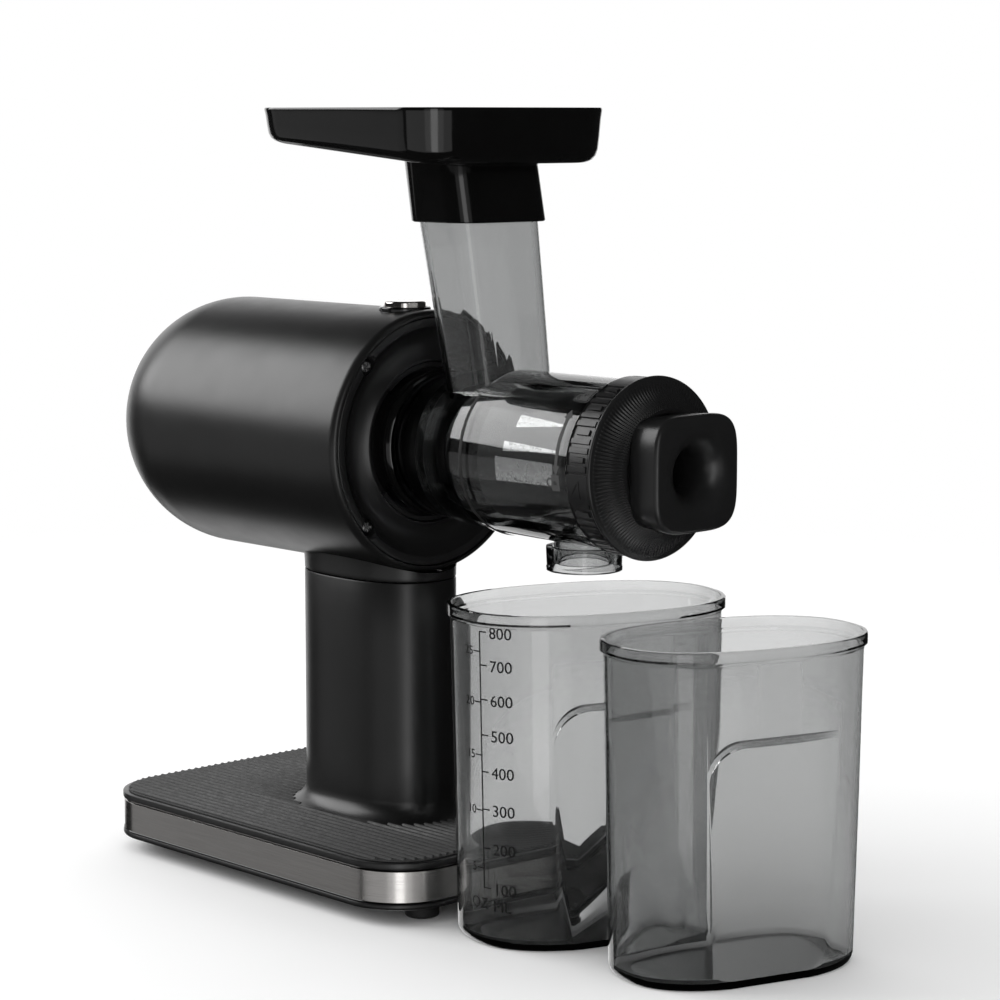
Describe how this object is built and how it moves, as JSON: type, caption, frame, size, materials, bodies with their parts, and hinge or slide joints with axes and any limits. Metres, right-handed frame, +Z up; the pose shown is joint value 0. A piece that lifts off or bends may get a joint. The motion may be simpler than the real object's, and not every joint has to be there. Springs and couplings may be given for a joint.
{
  "type": "slow juicer",
  "caption": "Horizontal slow juicer: capsule motor housing on an oval neck and flat base, clear drum with an auger, leaning feed chute, tray, lock nut, and two oval cups.",
  "frame": {"origin": "middle of the whole set's footprint, on the counter", "axes": "+X along the drum axis from the motor towards the pulp nozzle, +Z up, +Y to the left seen from the motor end"},
  "size_m": [0.3818, 0.1368, 0.32],
  "materials": {
    "housing_black": "satin black moulded plastic",
    "gloss_black": "gloss black plastic",
    "dark_plastic": "fine matte black plastic",
    "rubber": "matte dark rubber",
    "band_steel": "dark brushed steel",
    "chrome": "polished",
    "steel": "plain steel",
    "smoked_clear": "smoked clear plastic, glossy",
    "clear": "clear plastic, glossy",
    "auger_plastic": "satin plastic",
    "gear_plastic": "natural nylon",
    "copper": "copper windings",
    "board_green": "circuit board"
  },
  "bodies": {
    "base": {"base_tray": "dark_plastic", "base_band": "band_steel", "base_deck": "housing_black", "ribbed_mat": "rubber", "foot_rear_left": "rubber", "foot_rear_right": "rubber", "foot_front_left": "rubber", "foot_front_right": "rubber", "cord_gland": "rubber", "neck_column": "housing_black", "neck_saddle": "housing_black", "motor_housing": "housing_black", "front_plate": "dark_plastic", "plate_screw_1": "steel", "plate_screw_2": "steel", "plate_screw_3": "steel", "plate_screw_4": "steel", "button_bezel": "gloss_black", "button_spring": "steel", "start_switch": "dark_plastic", "control_board": "board_green", "gearbox_case": "steel", "ring_gear": "gear_plastic", "output_bearing": "steel", "motor_can": "steel", "motor_end_cap": "dark_plastic", "drum_seat": "dark_plastic", "seat_screw_1": "steel", "seat_screw_2": "steel", "seat_screw_3": "steel", "seat_screw_4": "steel", "shaft_seal": "rubber"},
    "start_button": {"start_button": "chrome"},
    "motor_rotor": {"motor_rotor": "copper", "cooling_fan": "dark_plastic", "sun_gear": "steel"},
    "planet_carrier": {"planet_carrier": "steel"},
    "planet_1": {"planet_gear_1": "gear_plastic"},
    "planet_2": {"planet_gear_2": "gear_plastic"},
    "planet_3": {"planet_gear_3": "gear_plastic"},
    "auger": {"auger": "auger_plastic", "auger_seal": "rubber"},
    "bayonet_ring": {"bayonet_ring": "gloss_black"},
    "drum": {"drum": "smoked_clear", "spout_ring": "clear", "filter_screen": "steel"},
    "end_cap": {"end_plate": "dark_plastic", "pulp_nozzle": "dark_plastic"},
    "lock_nut": {"lock_nut": "dark_plastic"},
    "feed_tray": {"feed_tray": "gloss_black"},
    "juice_cup": {"juice_cup": "smoked_clear"},
    "pulp_cup": {"pulp_cup": "smoked_clear"}
  },
  "joints": [
    {"name": "button_press", "type": "slide", "parent": "base", "child": "start_button", "axis": [0, 0, -1], "range_m": [0, 0.0022], "stiffness_N_per_m": 500, "deforming": ["button_spring"]},
    {"name": "rotor_spin", "type": "hinge", "parent": "base", "child": "motor_rotor", "pos_m": [-0.09, 0, 0.184], "axis": [1, 0, 0], "continuous": true},
    {"name": "carrier_spin", "type": "hinge", "parent": "base", "child": "planet_carrier", "pos_m": [-0.03, 0, 0.184], "axis": [1, 0, 0], "continuous": true},
    {"name": "planet_spin_1", "type": "hinge", "parent": "planet_carrier", "child": "planet_1", "pos_m": [-0.044, 0, 0.2005], "axis": [1, 0, 0], "continuous": true},
    {"name": "planet_spin_2", "type": "hinge", "parent": "planet_carrier", "child": "planet_2", "pos_m": [-0.044, -0.01429, 0.17575], "axis": [1, 0, 0], "continuous": true},
    {"name": "planet_spin_3", "type": "hinge", "parent": "planet_carrier", "child": "planet_3", "pos_m": [-0.044, 0.01429, 0.17575], "axis": [1, 0, 0], "continuous": true},
    {"name": "auger_spin", "type": "hinge", "parent": "base", "child": "auger", "pos_m": [0.05, 0, 0.184], "axis": [1, 0, 0], "continuous": true},
    {"name": "drum_twist", "type": "hinge", "parent": "base", "child": "bayonet_ring", "pos_m": [-0.012, 0, 0.184], "axis": [1, 0, 0], "range_deg": [0, 35]},
    {"name": "drum_pull", "type": "slide", "parent": "bayonet_ring", "child": "drum", "axis": [1, 0, 0], "range_m": [0, 0.1]},
    {"name": "end_cap_pull", "type": "slide", "parent": "drum", "child": "end_cap", "axis": [1, 0, 0], "range_m": [0, 0.06]},
    {"name": "nut_twist", "type": "hinge", "parent": "end_cap", "child": "lock_nut", "pos_m": [0.103, 0, 0.184], "axis": [1, 0, 0], "range_deg": [0, 40]},
    {"name": "tray_lift", "type": "slide", "parent": "drum", "child": "feed_tray", "axis": [-0.1772, 0, 0.9842], "range_m": [0, 0.06]},
    {"name": "juice_cup_slide", "type": "slide", "parent": "base", "child": "juice_cup", "axis": [0, 1, 0], "range_m": [0, 0.12]},
    {"name": "pulp_cup_slide", "type": "slide", "parent": "base", "child": "pulp_cup", "axis": [1, 0, 0], "range_m": [0, 0.1]}
  ],
  "couplings": [
    {"joint": "carrier_spin", "follows": "rotor_spin", "ratio": 0.2},
    {"joint": "auger_spin", "follows": "rotor_spin", "ratio": 0.2},
    {"joint": "planet_spin_1", "follows": "rotor_spin", "ratio": -0.53333},
    {"joint": "planet_spin_2", "follows": "rotor_spin", "ratio": -0.53333},
    {"joint": "planet_spin_3", "follows": "rotor_spin", "ratio": -0.53333}
  ]
}
